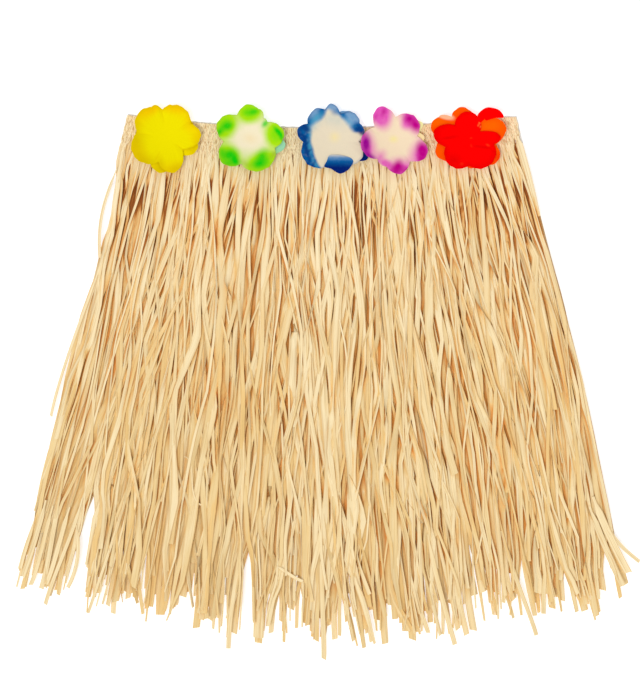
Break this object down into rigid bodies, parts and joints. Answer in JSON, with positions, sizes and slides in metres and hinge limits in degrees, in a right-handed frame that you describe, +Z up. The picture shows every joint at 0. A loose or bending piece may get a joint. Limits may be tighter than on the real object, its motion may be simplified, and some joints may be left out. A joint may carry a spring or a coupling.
{
  "type": "grass skirt",
  "caption": "Raffia hula skirt laid flat: elastic waist, gathered raffia heading, layered ragged fringe front and back, and bright cloth flowers along the waist.",
  "frame": {"origin": "centre of the skirt's footprint, on the surface that it lies on", "axes": "+X across the skirt to the wearer's left, +Y up the skirt towards the waist, +Z up from the surface, out of the front panel"},
  "size_m": [0.6566, 0.5826, 0.0206],
  "materials": {
    "waist_tape": "matte white woven elastic",
    "raffia": "matte creased natural raffia",
    "petal_gold": "matte pressed cloth",
    "petal_yellow": "matte pressed cloth",
    "petal_pale_green": "matte pressed cloth",
    "petal_green": "matte pressed cloth, cream to green",
    "petal_pale_blue": "matte thin cloth",
    "petal_blue": "matte pressed cloth, cream to navy",
    "petal_cream": "matte thin cloth",
    "petal_purple": "matte pressed cloth, cream to magenta",
    "petal_orange": "matte pressed cloth",
    "petal_red": "matte pressed cloth"
  },
  "bodies": {
    "root": {"waist_elastic_front": "waist_tape", "waist_elastic_back": "waist_tape", "heading_front": "raffia", "heading_back": "raffia", "fringe_back_outer": "raffia", "fringe_back_inner": "raffia", "fringe_front_inner": "raffia", "fringe_front_middle": "raffia", "fringe_front_outer": "raffia", "flower_yellow_under": "petal_gold", "flower_yellow_top": "petal_yellow", "flower_green_under": "petal_pale_green", "flower_green_top": "petal_green", "flower_blue_under": "petal_pale_blue", "flower_blue_top": "petal_blue", "flower_purple_under": "petal_cream", "flower_purple_top": "petal_purple", "flower_red_under": "petal_orange", "flower_red_top": "petal_red"}
  },
  "joints": []
}
